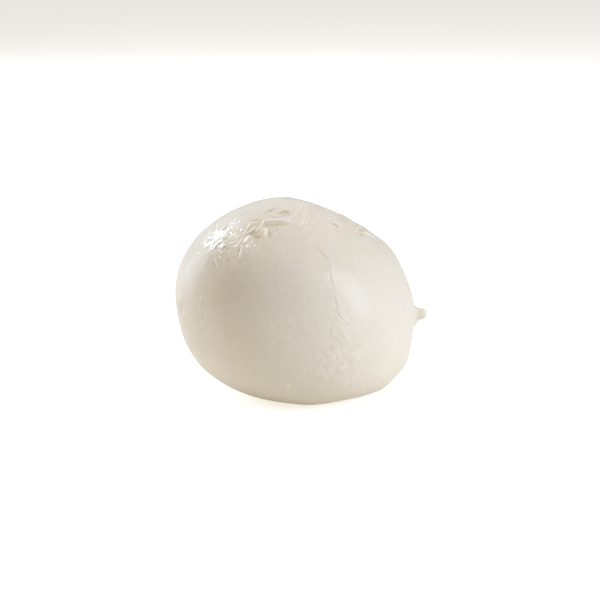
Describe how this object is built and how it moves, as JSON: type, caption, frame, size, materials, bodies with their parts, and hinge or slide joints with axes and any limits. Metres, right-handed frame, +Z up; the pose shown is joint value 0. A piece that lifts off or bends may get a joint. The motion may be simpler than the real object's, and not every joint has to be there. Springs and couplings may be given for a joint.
{
  "type": "mozzarella ball",
  "caption": "Soft round ball of fresh mozzarella, wider than tall, with a gathered and folded crown, a faint seam down the front and a small pinched-off nub on one side.",
  "frame": {"origin": "on the surface it stands on, under the middle of the object's bounding box", "axes": "+Z up, +X towards the nub along the ball's longest side, -Y the side with the seam"},
  "size_m": [0.0686, 0.0608, 0.0537],
  "materials": {
    "cheese": "damp, softly glossy curd skin, warm white, wetter and brighter round the crown"
  },
  "bodies": {
    "root": {"mozzarella_ball": "cheese"}
  },
  "joints": []
}
